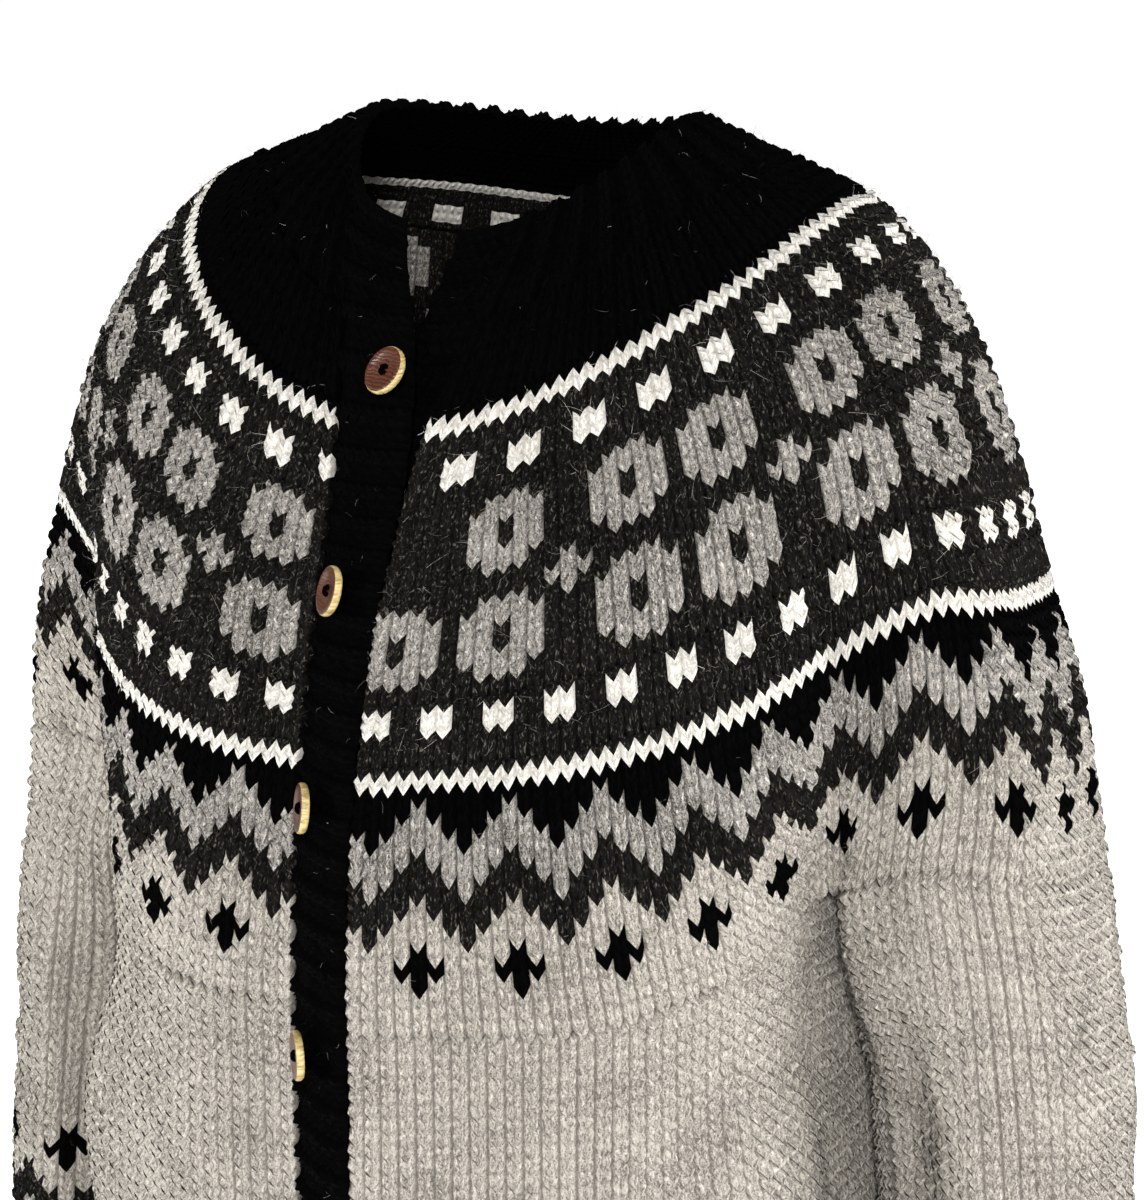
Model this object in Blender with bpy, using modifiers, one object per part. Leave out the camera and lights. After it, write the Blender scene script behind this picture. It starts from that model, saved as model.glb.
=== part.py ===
"""Hand-knit round-yoke cardigan, kept in the hollow form it has when worn.

Metres, +Z up, front toward -Y, +X is the wearer's left. The origin is the centre
of the neck, level with the tops of the shoulders.

Every ring of the cloth is counted in knitted rows down from the collar rim. A
ring of the yoke blends from one rounded oval to the outline of torso and arms
side by side, which is where the body and the two sleeves hang from it.
"""

import math

import bpy
import numpy as np
from mathutils import Matrix, Vector

MM = 0.001
WALL = 4.0
SEAM = 0.3
EDGE_GAP = 0.6
ROW_HEIGHT = 5.0

# Rows of knitting, counted down from the rim of the collar
COLLAR_END = 8
YOKE_END = 57
HEM_START = 104
HEM_END = 114

# Yoke rings in mm: half width, depth to the front and to the back, squareness, heights
YOKE_ROWS = np.array([0, 8, 14, 26, 40, 57])
YOKE = {
    "half_width": [65, 99, 135, 169, 188, 216],
    "front": [72, 92, 114, 135, 148, 162],
    "back": [57, 74, 88, 114, 126, 114],
    "square": [2.0, 2.05, 2.2, 2.3, 2.45, 2.5],
    "z_front": [-16, -50, -86, -138, -200, -291],
    "z_side": [22, 7, -9, -58, -150, -256],
    "z_back": [14, -3, -22, -80, -158, -262],
    "torso_share": [0, 0, 0, 0.06, 0.4, 1],
}

# Body rings in mm, from the yoke down to the hem
BODY_ROWS = np.array([57, 66, 82, 104, 114])
BODY = {
    "half_width": [139, 139, 144, 152, 150],
    "front": [162, 162, 160, 163, 160],
    "back": [114, 111, 106, 112, 110],
    "square": [3.0, 3.0, 3.0, 2.9, 2.8],
    "z": [-292, -338, -424, -538, -590],
}

# Arm rings in mm along the sleeve, 0 at the yoke and 1 at the cuff
SLEEVE_SHARE = np.array([0, 0.12, 0.35, 0.65, 1.0, 1.2])
SLEEVE = {
    "half_width": [42, 46, 50, 50, 44, 36],
    "half_depth": [54, 55, 56, 54, 47, 39],
    "square": [3.8, 2.9, 2.4, 2.3, 2.2, 2.1],
    "out": [183, 188, 196, 202, 205, 207],
    "forward": [-7, -6, -5, -1, 10, 16],
}
SLEEVE_END_Z = -530.0
CUFF_LENGTH = 56.0

# Where a half ring of the yoke passes from torso to arm and back, in degrees round it
FRONT_CREASE = 52.0
BACK_CREASE = 126.0
FRONT_CREASE_OVAL = 60.0
BACK_CREASE_OVAL = 122.0
TORSO_TURN = 72.5
ARM_FRONT = 225.0
ARM_BACK = 495.0
UNDERARM_DIP = 6.0

# Front bands in mm: the seam's distance from the middle, where the lower band ends and
# where both bend, how far the upper one lies above the cloth and the lower one under it
BAND_EDGE = 16.5
BAND_TUCK = 7.0
BAND_BEND = 4.0
UPPER_LIFT = 4.2
LOWER_SINK = 2.0

# Below the neck the front edges press together, so the wearer's left front stands forward
# and the right one lies back: how far at each row, and over what distance across
PRESS_ROWS = np.array([0, 8, 14, 26, 42, 114])
PRESS_BY = [0, 0, 1, 5.5, 8, 8]
PRESS_REACH = 20.0

# How much higher the yoke lies over the front of the arms, by row, and where round the oval
ARM_LIFT = [0, 0, 0, 3, 16, 20]
ARM_LIFT_TURN = 72.0
ARM_LIFT_WIDTH = 12.0

# How quickly a ring's height leaves that of its side, and over how many rows the body's
# rings level out below the yoke
HEIGHT_CURVE = 1.6
LEVEL_ROWS = 34

# How far each band is drawn aside at the open neck, by row
OPEN_ROWS = np.array([0, 4, 9, 13, 20, 114])
LEFT_OPEN_BY = [15, 12, 6.5, 2, 0, 0]
RIGHT_OPEN_BY = [29, 23, 12, 4, 0, 0]

# Large soft folds of the body: degrees from the front, width, depth (negative outward),
# first and last row. Each fades in and out over the same number of rows.
FOLD_FADE = 14
BODY_FOLDS = [
    (-52, 24, -8.0, 58, 130),
    (50, 22, -3.0, 58, 130),
    (24, 7, 2.4, 50, 100),
    (47, 6, 3.0, 54, 96),
    (-33, 8, 2.6, 52, 98),
    (-58, 6, 3.2, 58, 104),
    (150, 8, 3.0, 56, 100),
    (-140, 9, 2.8, 60, 102),
]

# Large soft folds of a sleeve: degrees round the arm, width, depth, first and last share
SLEEVE_FADE = 0.2
SLEEVE_FOLDS = [
    (250, 13, 5.0, 0.02, 0.8),
    (292, 12, -2.5, 0.1, 0.9),
    (20, 16, 3.2, 0.3, 0.95),
    (130, 15, 3.6, 0.15, 0.7),
]

# Ribs: how many in each ribbed piece and how far they stand out
COLLAR_RIBS = 34
HEM_RIBS = 60
CUFF_RIBS = 18
BAND_RIBS = 32
RIB_HEIGHT = 1.6

# Buttons: the row each sits on, the turn of its face toward the wearer's right in degrees,
# and the clearance from the rib beneath; then their outline as radius and height in mm
BUTTONS = [(11, 3), (26, 2), (42, 2), (58.5, 2), (73.5, 2), (88.5, 2), (103, 2)]
BUTTON_CLEARANCE = 0.4
BUTTON_OUTLINE = [(0, -2.2), (2, -2.2), (2, 0), (8.6, 0), (9, 1.6), (8, 3.2), (5, 2.6), (0, 2.6)]
BUTTON_SIDES = 16

BLACK = (0.010, 0.010, 0.012, 1.0)
CHARCOAL = (0.045, 0.043, 0.042, 1.0)
GREY = (0.42, 0.40, 0.38, 1.0)
WOOD = (0.16, 0.07, 0.035, 1.0)


# Curves through the tables


def along(x, knots, values):
    """Smooth curve through the table: a cubic between knots, its slope at a knot the mean of both sides."""
    knots = np.asarray(knots, float)
    values = np.asarray(values, float)
    x = np.clip(np.asarray(x, float), knots[0], knots[-1])
    slope = np.diff(values) / np.diff(knots)
    both = slope[1:] * slope[:-1] > 0
    middle = np.where(both, 0.5 * (slope[1:] + slope[:-1]), 0.0)
    tangent = np.concatenate([slope[:1], middle, slope[-1:]])
    i = np.clip(np.searchsorted(knots, x, side="right") - 1, 0, len(knots) - 2)
    span = knots[i + 1] - knots[i]
    s = (x - knots[i]) / span
    start = values[i] * (1 + 2 * s) * (1 - s) ** 2 + tangent[i] * span * s * (1 - s) ** 2
    end = values[i + 1] * s**2 * (3 - 2 * s) - tangent[i + 1] * span * s**2 * (1 - s)
    return start + end


def bump(x, centre, width):
    return np.exp(-(((x - centre) / width) ** 2))


def rise(x, first, last):
    """0 before first, 1 after last, and smooth between."""
    s = np.clip((x - first) / (last - first), 0, 1)
    return s * s * (3 - 2 * s)


def oval(turn, half_width, front, back, square):
    """Point of a superellipse at an angle from the front: each half has its own depth."""
    sine = np.sin(np.radians(turn))
    cosine = np.cos(np.radians(turn))
    depth = np.where(cosine > 0, front, back)
    reach = (np.abs(sine / half_width) ** square + np.abs(cosine / depth) ** square) ** (-1 / square)
    return reach * sine, -reach * cosine


# Surfaces of the cloth, in mm, by row and angle from the front


def folded(turn, row):
    """Depth of the body's folds at this place, the angle from -180 to 180."""
    depth = 0.0
    for centre, width, deep, first, last in BODY_FOLDS:
        span = rise(row, first, first + FOLD_FADE) * (1 - rise(row, last - FOLD_FADE, last))
        depth = depth + deep * bump(turn, centre, width) * span
    return depth


def torso_ring(turn, row):
    values = {k: along(row, BODY_ROWS, v) for k, v in BODY.items()}
    inward = folded(turn, row)
    return oval(
        turn,
        values["half_width"] - inward,
        values["front"] - inward,
        values["back"] - inward,
        values["square"],
    )


def arm_ring(turn, share):
    """Point on the wearer's left arm, the angle counted from its outer side toward its back."""
    values = {k: along(share, SLEEVE_SHARE, v) for k, v in SLEEVE.items()}
    inward = 0.0
    for centre, width, deep, first, last in SLEEVE_FOLDS:
        span = rise(share, first, first + SLEEVE_FADE) * (1 - rise(share, last - SLEEVE_FADE, last))
        inward = inward + deep * bump((turn - centre + 180) % 360, 180, width) * span
    x, y = oval(
        turn + 90,
        values["half_width"] - inward,
        values["half_depth"] - inward,
        values["half_depth"] - inward,
        values["square"],
    )
    return values["out"] + x, y - values["forward"]


def join_ring(half):
    """Outline of torso and arm side by side, by the yoke's own angle from 0 to 180."""
    from_back = (180 - half) / (180 - BACK_CREASE)
    torso_turn = np.where(half < 90, half / FRONT_CREASE * TORSO_TURN, 180 - from_back * TORSO_TURN)
    torso_x, torso_y = torso_ring(np.clip(torso_turn, 0, 180), YOKE_END)
    around = np.clip((half - FRONT_CREASE) / (BACK_CREASE - FRONT_CREASE), 0, 1)
    arm_x, arm_y = arm_ring(ARM_FRONT + around * (ARM_BACK - ARM_FRONT), 0)
    on_arm = (half > FRONT_CREASE) & (half < BACK_CREASE)
    return np.where(on_arm, arm_x, torso_x), np.where(on_arm, arm_y, torso_y)


def pressed(x, turn, row):
    """Shift in depth beside the front edges: forward at the wearer's left, back at the right, fading out."""
    away = x / PRESS_REACH
    shift = along(row, PRESS_ROWS, PRESS_BY) * away * np.exp(0.5 - 0.5 * away**2)
    return np.where(np.abs(turn) < 90, -shift, 0)


def yoke_height(oval_turn, row):
    side = along(row, YOKE_ROWS, YOKE["z_side"])
    fore = along(row, YOKE_ROWS, YOKE["z_front"]) - side
    aft = along(row, YOKE_ROWS, YOKE["z_back"]) - side
    cosine = np.cos(np.radians(oval_turn))
    lift = along(row, YOKE_ROWS, ARM_LIFT) * bump(oval_turn, ARM_LIFT_TURN, ARM_LIFT_WIDTH)
    front_share = np.clip(cosine, 0, 1) ** HEIGHT_CURVE
    back_share = np.clip(-cosine, 0, 1) ** HEIGHT_CURVE
    return side + lift + fore * front_share + aft * back_share


def yoke_oval_turn(half):
    """The yoke's own angle turned into the angle of its oval: the arms take less of the oval."""
    places = [0, FRONT_CREASE, 90, BACK_CREASE, 180]
    return np.interp(half, places, [0, FRONT_CREASE_OVAL, 90, BACK_CREASE_OVAL, 180])


def yoke_point(turn, row):
    """Outer face of collar and yoke."""
    turn = signed(turn)
    half = np.abs(turn)
    values = {k: along(row, YOKE_ROWS, v) for k, v in YOKE.items()}
    oval_turn = yoke_oval_turn(half)
    oval_x, oval_y = oval(
        oval_turn, values["half_width"], values["front"], values["back"], values["square"]
    )
    join_x, join_y = join_ring(half)
    share = values["torso_share"]
    x = (oval_x + (join_x - oval_x) * share) * np.where(turn < 0, -1, 1)
    y = oval_y + (join_y - oval_y) * share + pressed(x, turn, row)
    return np.stack(np.broadcast_arrays(x, y, yoke_height(oval_turn, row)), axis=-1)


def underarm_height(share):
    """Height of the edge under the arm, from the front crease to the back one, with a dip between."""
    front = yoke_height(FRONT_CREASE_OVAL, YOKE_END)
    back = yoke_height(BACK_CREASE_OVAL, YOKE_END)
    return front + (back - front) * share - UNDERARM_DIP * np.sin(np.pi * np.clip(share, 0, 1))


def body_top(turn):
    """Height of the body's upper edge: the yoke's edge, and under the arm the edge between its creases."""
    half = np.abs(turn)
    places = [0, TORSO_TURN, 180 - TORSO_TURN, 180]
    edge = np.interp(half, places, [0, FRONT_CREASE_OVAL, BACK_CREASE_OVAL, 180])
    share = (half - TORSO_TURN) / (180 - 2 * TORSO_TURN)
    return np.where((share > 0) & (share < 1), underarm_height(share), yoke_height(edge, YOKE_END))


def body_point(turn, row):
    """Outer face of the body: its top follows the yoke's edge and its hem is level."""
    turn = signed(turn)
    x, y = torso_ring(turn, row)
    y = y + pressed(x, turn, row)
    raised = body_top(turn) - BODY["z"][0]
    z = along(row, BODY_ROWS, BODY["z"]) + raised * (1 - rise(row, YOKE_END, YOKE_END + LEVEL_ROWS))
    return np.stack(np.broadcast_arrays(x, y, z), axis=-1)


def sleeve_point(turn, share):
    """Outer face of the left sleeve and, past share 1, of its cuff."""
    x, y = arm_ring(turn, share)
    ring = (turn - ARM_BACK) % 360 + ARM_BACK - 360
    half = np.interp(ring, [ARM_FRONT, ARM_BACK], [FRONT_CREASE, BACK_CREASE])
    under = (ARM_FRONT - ring) / (ARM_FRONT - ARM_BACK + 360)
    top = np.where(ring < ARM_FRONT, underarm_height(under), yoke_height(yoke_oval_turn(half), YOKE_END))
    past = np.clip((share - 1) / (SLEEVE_SHARE[-1] - 1), 0, 1)
    z = top + (SLEEVE_END_Z - top) * np.clip(share, 0, 1) - CUFF_LENGTH * past
    return np.stack(np.broadcast_arrays(x, y, z), axis=-1)


def signed(turn):
    return (np.asarray(turn, float) + 180) % 360 - 180


def front_turn(point, across, row):
    """Angle at which this surface lies a distance across from the middle of the front."""
    turn = across / point(1.0, row)[..., 0]
    for _ in range(3):
        there = point(turn, row)[..., 0]
        turn = turn * across / np.where(np.abs(there) < 1e-6, 1, there)
    return turn


def front_point(across, row):
    """Outer face at the front opening, by the distance across it."""
    across, row = np.broadcast_arrays(np.where(across == 0, 1e-3, across), row)
    above = np.minimum(row, YOKE_END)
    below = np.maximum(row, YOKE_END)
    on_yoke = yoke_point(front_turn(yoke_point, across, above), above)
    on_body = body_point(front_turn(body_point, across, below), below)
    return np.where((row < YOKE_END)[..., None], on_yoke, on_body)


def opened(row, by):
    """How far a front band is drawn aside."""
    return along(row, OPEN_ROWS, by)


def front_edge(point, row, by):
    """Angle from the middle of the front to the edge beside a band."""
    return front_turn(point, BAND_EDGE + EDGE_GAP + opened(row, by), row)


def around(point, row, places, even_from):
    """Angles of a ring from the left front edge round the back to the right one."""
    fade = np.clip(1 - places / even_from, 0, 1)
    left = places + front_edge(point, row, LEFT_OPEN_BY) * fade
    right = places + front_edge(point, row, RIGHT_OPEN_BY) * fade
    return np.concatenate([left, 360 - right[:, -2::-1]], axis=1)


def evenly(point, row, share):
    """Angles of a ribbed ring at even shares from the left front edge to the right one."""
    left = front_edge(point, row, LEFT_OPEN_BY)
    right = front_edge(point, row, RIGHT_OPEN_BY)
    return left + (360 - left - right) * share


# Walls from grids of points


def lined(point, turn, row, raised=0.0, level=(), lift=0.0):
    """Outer and inner grids of a wall.

    The normal is the surface's own, from small steps on it. A row that meets another
    piece at a slant takes a level normal, so that the two ends lie flat to each other.
    """
    turn, row = np.broadcast_arrays(turn, row)
    across = point(turn + STEP_ACROSS, row) - point(turn - STEP_ACROSS, row)
    down = point(turn, row + STEP_DOWN[point]) - point(turn, row - STEP_DOWN[point])
    for i in level:
        down[i] = (0, 0, -1)
    normal = np.cross(down, across)
    normal /= np.linalg.norm(normal, axis=2, keepdims=True)
    face = point(turn, row) + normal * np.asarray(lift)[..., None]
    return face + normal * np.asarray(raised)[..., None], face - normal * WALL


def grid_faces(rows, columns, closed):
    """Quads of a grid, their outside toward down x across."""
    last = columns if closed else columns - 1
    r, c = np.meshgrid(np.arange(rows - 1), np.arange(last), indexing="ij")
    right = (c + 1) % columns
    below = (r + 1) * columns
    return np.stack([r * columns + c, below + c, below + right, r * columns + right], -1).reshape(-1, 4)


def edge_faces(loop, inward, closed):
    """Quads from an edge of the outer grid to the same edge of the inner one."""
    ahead = np.roll(loop, -1)
    quads = np.stack([loop, ahead, ahead + inward, loop + inward], axis=-1)
    return quads if closed else quads[:-1]


def wall(name, grids, closed, colour):
    """Closed shell between an outer and an inner grid."""
    outer, inner = grids
    rows, columns = outer.shape[:2]
    count = rows * columns
    index = np.arange(count).reshape(rows, columns)
    quads = grid_faces(rows, columns, closed)
    faces = [quads, quads[:, ::-1] + count]
    if closed:
        faces += [edge_faces(index[0], count, True), edge_faces(index[-1, ::-1], count, True)]
    else:
        loop = np.concatenate([index[0], index[1:, -1], index[-1, -2::-1], index[-2:0:-1, 0]])
        faces.append(edge_faces(loop, count, True))
    points = np.concatenate([outer.reshape(-1, 3), inner.reshape(-1, 3)]) * MM
    mesh = bpy.data.meshes.new(name)
    mesh.from_pydata(points.tolist(), [], np.concatenate(faces).tolist())
    mesh.materials.append(material(name, colour, 0.95))
    garment.objects.link(bpy.data.objects.new(name, mesh))


def mirrored(grids):
    """The same wall for the wearer's right: x changes sign, and the columns turn round with it."""
    return [grid[:, ::-1] * (-1, 1, 1) for grid in grids]


def ribbing(share, count):
    """Height of the ribs at a share of a ribbed piece's length."""
    return RIB_HEIGHT * (0.5 - 0.5 * np.cos(2 * np.pi * share * count))


# Pieces of the cardigan


def collar():
    row = np.linspace(0, COLLAR_END - SEAM_ROWS, 3)[:, None]
    share = np.linspace(0, 1, COLLAR_RIBS * 4 + 1)
    turn = evenly(yoke_point, row, share)
    wall("collar", lined(yoke_point, turn, row, ribbing(share, COLLAR_RIBS)), False, BLACK)


def yoke():
    row = np.array([8, 10, 12, 14, 17, 20, 26, 33, 40, 46, 52, YOKE_END - 2 * SEAM_ROWS])[:, None]
    grids = lined(yoke_point, around(yoke_point, row, YOKE_PLACES, EVEN_FROM), row, level=[-1])
    wall("yoke", grids, False, CHARCOAL)


def body():
    row = np.array([YOKE_END, 60, 64, 70, 76, 83, 90, 97, HEM_START - SEAM_ROWS])[:, None]
    grids = lined(body_point, around(body_point, row, BODY_PLACES, EVEN_FROM * ON_TORSO), row, level=[0])
    wall("body", grids, False, GREY)


def hem():
    row = np.array([HEM_START, HEM_END])[:, None]
    share = np.linspace(0, 1, HEM_RIBS * 4 + 1)
    turn = evenly(body_point, row, share)
    wall("hem_rib", lined(body_point, turn, row, ribbing(share, HEM_RIBS)), False, BLACK)


def sleeves():
    end = 1 - SEAM / (BODY["z"][0] - SLEEVE_END_Z)
    share = np.array([0, 0.05, 0.12, 0.2, 0.3, 0.41, 0.53, 0.65, 0.77, 0.89, end])
    grids = lined(sleeve_point, SLEEVE_PLACES, share[:, None], level=[0])
    wall("sleeve_left", grids, True, GREY)
    wall("sleeve_right", mirrored(grids), True, GREY)


def cuffs():
    share = np.linspace(0, 1, CUFF_RIBS * 4, endpoint=False)
    down = np.linspace(1, SLEEVE_SHARE[-1], 3)[:, None]
    grids = lined(sleeve_point, 360 * share, down, ribbing(share, CUFF_RIBS))
    wall("cuff_left", grids, True, BLACK)
    wall("cuff_right", mirrored(grids), True, BLACK)


def lower_band(across, row):
    return front_point(across - BAND_TUCK + opened(row, LEFT_OPEN_BY), row)


def upper_band(across, row):
    return front_point(across - BAND_EDGE - opened(row, RIGHT_OPEN_BY), row)


def bands():
    """The wearer's left band lies under and holds the buttons, the right one lies over it."""
    share = np.linspace(0, 1, BAND_RIBS * 3 + 1)[:, None]
    row = share * HEM_END
    ribs = ribbing(share, BAND_RIBS)
    under = np.array([0, BAND_TUCK + BAND_BEND, BAND_TUCK + BAND_EDGE])
    wall("button_band", lined(lower_band, under, row, ribs, lift=-LOWER_SINK), False, BLACK)
    clear = BAND_EDGE - BAND_TUCK
    over = np.array([0, clear / 2, clear, BAND_EDGE + BAND_BEND, 2 * BAND_EDGE])
    lift = UPPER_LIFT * rise(over, 0, clear)
    wall("buttonhole_band", lined(upper_band, over, row, ribs, lift=lift), False, BLACK)


def button(name, row, tilt):
    """A turned disc with a short neck behind it, its back just clear of the highest rib beneath."""
    profile = bpy.data.meshes.new(name)
    points = [(radius * MM, 0, height * MM) for radius, height in BUTTON_OUTLINE]
    profile.from_pydata(points, [(i, i + 1) for i in range(len(points) - 1)], [])
    profile.materials.append(material(name, WOOD, 0.45))
    made = bpy.data.objects.new(name, profile)
    garment.objects.link(made)
    turned = made.modifiers.new("turned", "SCREW")
    turned.steps = BUTTON_SIDES
    turned.render_steps = BUTTON_SIDES
    turned.use_merge_vertices = True
    turned.merge_threshold = 0.00001
    turned.use_normal_flip = True
    up = Vector(front_point(0.0, row - 1) - front_point(0.0, row + 1)).normalized()
    across = Vector(front_point(1.0, row) - front_point(-1.0, row))
    axis = Matrix.Rotation(-math.radians(tilt), 3, up) @ across.cross(up).normalized()
    neck_radius, neck_foot = BUTTON_OUTLINE[1]
    neck = row + np.array([-1, 0, 1]) * neck_radius / ROW_HEIGHT
    stand = UPPER_LIFT + ribbing(neck / HEM_END, BAND_RIBS).max() + BUTTON_CLEARANCE - neck_foot
    turn = Matrix((up.cross(axis), up, axis)).transposed().to_4x4()
    made.matrix_world = Matrix.Translation((Vector(front_point(0.0, row)) + axis * stand) * MM) @ turn


def material(name, colour, roughness):
    made = bpy.data.materials.new(name)
    made.use_nodes = True
    shader = made.node_tree.nodes["Principled BSDF"]
    shader.inputs["Base Color"].default_value = colour
    shader.inputs["Roughness"].default_value = roughness
    shader.inputs["Metallic"].default_value = 0.0
    return made


# Rows that make up one seam gap, and the steps for the slope of each surface
SEAM_ROWS = SEAM / ROW_HEIGHT
STEP_ACROSS = 0.2
STEP_DOWN = {
    yoke_point: 0.05,
    body_point: 0.05,
    sleeve_point: 0.002,
    lower_band: 0.3,
    upper_band: 0.3,
}

# Angles of the grids' columns on one side, close to each crease and then evenly. Body and
# sleeves take over the yoke's own columns, so that the pieces' edges match along their seams.
ON_TORSO = TORSO_TURN / FRONT_CREASE
ON_BACK = TORSO_TURN / (180 - BACK_CREASE)
ON_SLEEVE = (ARM_BACK - ARM_FRONT) / (BACK_CREASE - FRONT_CREASE)
BESIDE = 0.1
NEXT = 3.0
FRONT_PLACES = np.append(np.linspace(0, FRONT_CREASE - NEXT, 12), FRONT_CREASE - BESIDE)
ARM_PLACES = np.linspace(FRONT_CREASE + BESIDE, BACK_CREASE - BESIDE, 17)
BACK_PLACES = np.append([BACK_CREASE + BESIDE], np.linspace(BACK_CREASE + NEXT, 180, 12))
YOKE_PLACES = np.concatenate([FRONT_PLACES, ARM_PLACES, BACK_PLACES])
SIDE_PLACES = np.linspace(TORSO_TURN, 180 - TORSO_TURN, 7)[1:-1]
BODY_PLACES = np.concatenate([FRONT_PLACES * ON_TORSO, SIDE_PLACES, 180 - (180 - BACK_PLACES) * ON_BACK])
INNER_ARM = np.linspace(ARM_BACK - 360, ARM_FRONT, 7)[1:-1]
SLEEVE_PLACES = np.concatenate([ARM_FRONT + (ARM_PLACES - FRONT_CREASE) * ON_SLEEVE, INNER_ARM + 360])
EVEN_FROM = 44.0

for leftover in list(bpy.data.objects):
    bpy.data.objects.remove(leftover)

garment = bpy.data.collections.new("cardigan")
bpy.context.scene.collection.children.link(garment)

collar()
yoke()
body()
sleeves()
hem()
cuffs()
bands()
for number, (row, tilt) in enumerate(BUTTONS, start=1):
    button(f"button_{number}", row, tilt)
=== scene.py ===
"""Hand-knit round-yoke cardigan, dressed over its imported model.

Metres, +Z up, front toward -Y, +X is the wearer's left, the origin in the middle
of the neck. The cloth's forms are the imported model's own tables and curves, in
millimetres; each stitch is then raised on them as two leaning legs of yarn.
"""

import math

import bpy
import numpy as np
from mathutils import Matrix, Vector


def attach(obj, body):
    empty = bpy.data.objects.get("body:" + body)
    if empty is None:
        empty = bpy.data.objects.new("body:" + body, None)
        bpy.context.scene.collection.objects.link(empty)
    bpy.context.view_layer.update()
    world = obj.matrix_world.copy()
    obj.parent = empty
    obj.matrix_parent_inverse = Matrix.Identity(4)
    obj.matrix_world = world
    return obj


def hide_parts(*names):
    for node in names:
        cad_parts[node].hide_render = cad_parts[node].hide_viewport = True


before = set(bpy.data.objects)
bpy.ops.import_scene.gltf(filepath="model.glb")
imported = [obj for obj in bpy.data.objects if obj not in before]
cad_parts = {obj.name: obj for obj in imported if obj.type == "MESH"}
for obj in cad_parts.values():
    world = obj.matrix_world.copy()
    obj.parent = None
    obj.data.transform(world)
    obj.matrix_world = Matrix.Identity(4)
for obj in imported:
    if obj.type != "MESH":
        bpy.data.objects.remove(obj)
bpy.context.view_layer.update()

MM = 0.001
WALL = 4.0
EDGE_GAP = -0.5

# Rows of knitting, counted down from the rim of the collar
YOKE_END = 57
HEM_END = 114

# Yoke rings in mm: half width, depth to the front and to the back, squareness, heights
YOKE_ROWS = np.array([0, 8, 14, 26, 40, 57])
YOKE = {
    "half_width": [65, 99, 135, 169, 188, 216],
    "front": [72, 92, 114, 135, 148, 162],
    "back": [57, 74, 88, 114, 126, 114],
    "square": [2.0, 2.05, 2.2, 2.3, 2.45, 2.5],
    "z_front": [-16, -50, -86, -138, -200, -291],
    "z_side": [22, 7, -9, -58, -150, -256],
    "z_back": [14, -3, -22, -80, -158, -262],
    "torso_share": [0, 0, 0, 0.06, 0.4, 1],
}

# Body rings in mm, from the yoke down to the hem
BODY_ROWS = np.array([57, 66, 82, 104, 114])
BODY = {
    "half_width": [139, 139, 144, 152, 150],
    "front": [162, 162, 160, 163, 160],
    "back": [114, 111, 106, 112, 110],
    "square": [3.0, 3.0, 3.0, 2.9, 2.8],
    "z": [-292, -338, -424, -538, -590],
}

# Arm rings in mm along the sleeve, 0 at the yoke and 1 at the cuff
SLEEVE_SHARE = np.array([0, 0.12, 0.35, 0.65, 1.0, 1.2])
SLEEVE = {
    "half_width": [42, 46, 50, 50, 44, 36],
    "half_depth": [54, 55, 56, 54, 47, 39],
    "square": [3.8, 2.9, 2.4, 2.3, 2.2, 2.1],
    "out": [183, 188, 196, 202, 205, 207],
    "forward": [-7, -6, -5, -1, 10, 16],
}
SLEEVE_END_Z = -530.0
CUFF_LENGTH = 56.0

# Where a half ring of the yoke passes from torso to arm and back, in degrees round it
FRONT_CREASE = 52.0
BACK_CREASE = 126.0
FRONT_CREASE_OVAL = 60.0
BACK_CREASE_OVAL = 122.0
TORSO_TURN = 72.5
ARM_FRONT = 225.0
ARM_BACK = 495.0
UNDERARM_DIP = 6.0

# Front bands in mm: the seam's distance from the middle, where the lower band ends, and
# how far the upper one lies above the cloth and the lower one under it
BAND_EDGE = 16.5
BAND_TUCK = 7.0
UPPER_LIFT = 4.2
LOWER_SINK = 2.0

# Below the neck the front edges press together, so the wearer's left front stands forward
# and the right one lies back: how far at each row, and over what distance across
PRESS_ROWS = np.array([0, 8, 14, 26, 42, 114])
PRESS_BY = [0, 0, 1, 5.5, 8, 8]
PRESS_REACH = 20.0

# How much higher the yoke lies over the front of the arms, by row, and where round the oval
ARM_LIFT = [0, 0, 0, 3, 16, 20]
ARM_LIFT_TURN = 72.0
ARM_LIFT_WIDTH = 12.0

# How quickly a ring's height leaves that of its side, and over how many rows the body's
# rings level out below the yoke
HEIGHT_CURVE = 1.6
LEVEL_ROWS = 34

# How far each band is drawn aside at the open neck, by row
OPEN_ROWS = np.array([0, 4, 9, 13, 20, 114])
LEFT_OPEN_BY = [15, 12, 6.5, 2, 0, 0]
RIGHT_OPEN_BY = [29, 23, 12, 4, 0, 0]

# Large soft folds of the body: degrees from the front, width, depth (negative outward),
# first and last row. Each fades in and out over the same number of rows.
FOLD_FADE = 14
BODY_FOLDS = [
    (-52, 24, -8.0, 58, 130),
    (50, 22, -3.0, 58, 130),
    (24, 7, 2.4, 50, 100),
    (47, 6, 3.0, 54, 96),
    (-33, 8, 2.6, 52, 98),
    (-58, 6, 3.2, 58, 104),
    (150, 8, 3.0, 56, 100),
    (-140, 9, 2.8, 60, 102),
]

# Large soft folds of a sleeve: degrees round the arm, width, depth, first and last share
SLEEVE_FADE = 0.2
SLEEVE_FOLDS = [
    (250, 13, 5.0, 0.02, 0.8),
    (292, 12, -2.5, 0.1, 0.9),
    (20, 16, 3.2, 0.3, 0.95),
    (130, 15, 3.6, 0.15, 0.7),
]

# How far the ribs of the bands stand out
RIB_HEIGHT = 1.6

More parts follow.
